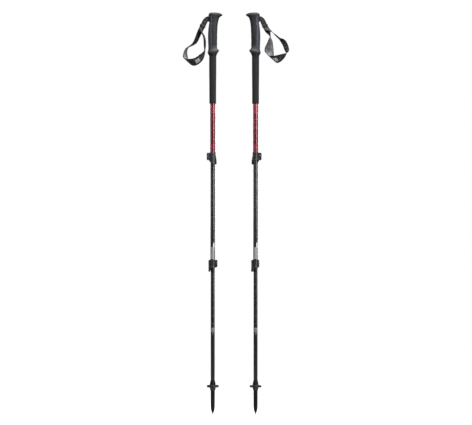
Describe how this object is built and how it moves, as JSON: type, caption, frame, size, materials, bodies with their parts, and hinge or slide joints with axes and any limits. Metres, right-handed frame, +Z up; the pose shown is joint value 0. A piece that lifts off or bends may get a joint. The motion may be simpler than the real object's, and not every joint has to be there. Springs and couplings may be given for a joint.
{
  "type": "pair of trekking poles",
  "caption": "Telescoping trekking poles with lever clamps, hand grips over long foam sleeves, padded adjustable wrist straps, small baskets and hard metal tips.",
  "frame": {"origin": "on the ground under the poles, at the centre of the pair's overall box; the two pole axes stand at x = -81.5 mm and x = +67.9 mm, y = 0", "axes": "+Z up along the shafts, +X from the left pole to the right pole, +Y away from the viewer of the pair"},
  "size_m": [0.3721, 0.0439, 1.4],
  "materials": {
    "red_tube": "satin",
    "black_tube": "satin",
    "grip_rubber": "matte",
    "cap_rubber": "matte",
    "grip_foam": "matte",
    "wedge_plastic": "matte",
    "keeper_plastic": "satin",
    "clamp_plastic": "satin",
    "lever_plastic": "satin",
    "bushing_plastic": "matte",
    "tip_plastic": "matte",
    "basket_plastic": "matte",
    "webbing": "matte",
    "pad_fabric": "matte",
    "patch_fabric": "matte",
    "steel": "satin",
    "carbide": "satin"
  },
  "bodies": {
    "left_upper": {"left_upper_shaft": "red_tube", "left_grip_body": "grip_rubber", "left_grip_cap": "cap_rubber", "left_foam_extension": "grip_foam", "left_upper_clamp": "clamp_plastic", "left_upper_barrel": "steel"},
    "left_upper_lever": {"left_upper_lever": "lever_plastic"},
    "left_upper_screw": {"left_upper_screw": "steel"},
    "left_middle": {"left_middle_shaft": "black_tube", "left_middle_bushing": "bushing_plastic", "left_lower_clamp": "clamp_plastic", "left_lower_barrel": "steel"},
    "left_lower_lever": {"left_lower_lever": "lever_plastic"},
    "left_lower_screw": {"left_lower_screw": "steel"},
    "left_lower": {"left_lower_shaft": "black_tube", "left_lower_bushing": "bushing_plastic", "left_flex_tip": "tip_plastic", "left_carbide_tip": "carbide"},
    "left_basket": {"left_basket": "basket_plastic"},
    "left_wedge": {"left_strap_wedge": "wedge_plastic", "left_strap_pin": "steel", "left_strap_anchor": "steel"},
    "left_strap": {"left_strap_outer_run": "webbing", "left_strap_inner_run": "webbing", "left_wrist_pad": "pad_fabric", "left_strap_keeper": "keeper_plastic", "left_pad_patch": "patch_fabric"},
    "right_upper": {"right_upper_shaft": "red_tube", "right_grip_body": "grip_rubber", "right_grip_cap": "cap_rubber", "right_foam_extension": "grip_foam", "right_upper_clamp": "clamp_plastic", "right_upper_barrel": "steel"},
    "right_upper_lever": {"right_upper_lever": "lever_plastic"},
    "right_upper_screw": {"right_upper_screw": "steel"},
    "right_middle": {"right_middle_shaft": "black_tube", "right_middle_bushing": "bushing_plastic", "right_lower_clamp": "clamp_plastic", "right_lower_barrel": "steel"},
    "right_lower_lever": {"right_lower_lever": "lever_plastic"},
    "right_lower_screw": {"right_lower_screw": "steel"},
    "right_lower": {"right_lower_shaft": "black_tube", "right_lower_bushing": "bushing_plastic", "right_flex_tip": "tip_plastic", "right_carbide_tip": "carbide"},
    "right_basket": {"right_basket": "basket_plastic"},
    "right_wedge": {"right_strap_wedge": "wedge_plastic", "right_strap_pin": "steel", "right_strap_anchor": "steel"},
    "right_strap": {"right_strap_outer_run": "webbing", "right_strap_inner_run": "webbing", "right_wrist_pad": "pad_fabric", "right_strap_keeper": "keeper_plastic", "right_pad_patch": "patch_fabric"}
  },
  "joints": [
    {"name": "left_upper_lever_open", "type": "hinge", "parent": "left_upper", "child": "left_upper_lever", "pos_m": [-0.0975, -0.0096, 0.898], "axis": [0, 0, -1], "range_deg": [0, 150]},
    {"name": "left_upper_screw_turn", "type": "hinge", "parent": "left_upper", "child": "left_upper_screw", "pos_m": [-0.0975, 0, 0.898], "axis": [0, 1, 0], "continuous": true},
    {"name": "left_middle_slide", "type": "slide", "parent": "left_upper", "child": "left_middle", "axis": [0, 0, 1], "range_m": [0, 0.33]},
    {"name": "left_lower_lever_open", "type": "hinge", "parent": "left_middle", "child": "left_lower_lever", "pos_m": [-0.07921, 0.01852, 0.524], "axis": [0, 0, -1], "range_deg": [0, 150]},
    {"name": "left_lower_screw_turn", "type": "hinge", "parent": "left_middle", "child": "left_lower_screw", "pos_m": [-0.07165, 0.01261, 0.524], "axis": [0.788, -0.6157, 0], "continuous": true},
    {"name": "left_lower_slide", "type": "slide", "parent": "left_middle", "child": "left_lower", "axis": [0, 0, 1], "range_m": [0, 0.379]},
    {"name": "left_basket_off", "type": "slide", "parent": "left_lower", "child": "left_basket", "axis": [0, 0, -1], "range_m": [0, 0.115]},
    {"name": "left_wedge_slide", "type": "slide", "parent": "left_upper", "child": "left_wedge", "axis": [-1, 0, 0], "range_m": [0, 0.006]},
    {"name": "left_strap_swing", "type": "hinge", "parent": "left_wedge", "child": "left_strap", "pos_m": [-0.0971, 0, 1.378], "axis": [0, 0, 1], "range_deg": [-38, 38]},
    {"name": "right_upper_lever_open", "type": "hinge", "parent": "right_upper", "child": "right_upper_lever", "pos_m": [0.0839, 0.0096, 0.898], "axis": [0, 0, -1], "range_deg": [0, 150]},
    {"name": "right_upper_screw_turn", "type": "hinge", "parent": "right_upper", "child": "right_upper_screw", "pos_m": [0.0839, 0, 0.898], "axis": [0, -1, 0], "continuous": true},
    {"name": "right_middle_slide", "type": "slide", "parent": "right_upper", "child": "right_middle", "axis": [0, 0, 1], "range_m": [0, 0.33]},
    {"name": "right_lower_lever_open", "type": "hinge", "parent": "right_middle", "child": "right_lower_lever", "pos_m": [0.06629, 0.01859, 0.524], "axis": [0, 0, -1], "range_deg": [0, 150]},
    {"name": "right_lower_screw_turn", "type": "hinge", "parent": "right_middle", "child": "right_lower_screw", "pos_m": [0.07491, 0.01438, 0.524], "axis": [0.8988, -0.4384, 0], "continuous": true},
    {"name": "right_lower_slide", "type": "slide", "parent": "right_middle", "child": "right_lower", "axis": [0, 0, 1], "range_m": [0, 0.379]},
    {"name": "right_basket_off", "type": "slide", "parent": "right_lower", "child": "right_basket", "axis": [0, 0, -1], "range_m": [0, 0.115]},
    {"name": "right_wedge_slide", "type": "slide", "parent": "right_upper", "child": "right_wedge", "axis": [1, 0, 0], "range_m": [0, 0.006]},
    {"name": "right_strap_swing", "type": "hinge", "parent": "right_wedge", "child": "right_strap", "pos_m": [0.0835, 0, 1.378], "axis": [0, 0, 1], "range_deg": [-38, 38]},
    {"name": "right_pole_apart", "type": "slide", "parent": "left_upper", "child": "right_upper", "axis": [1, 0, 0], "range_m": [-0.06, 0.45]}
  ]
}
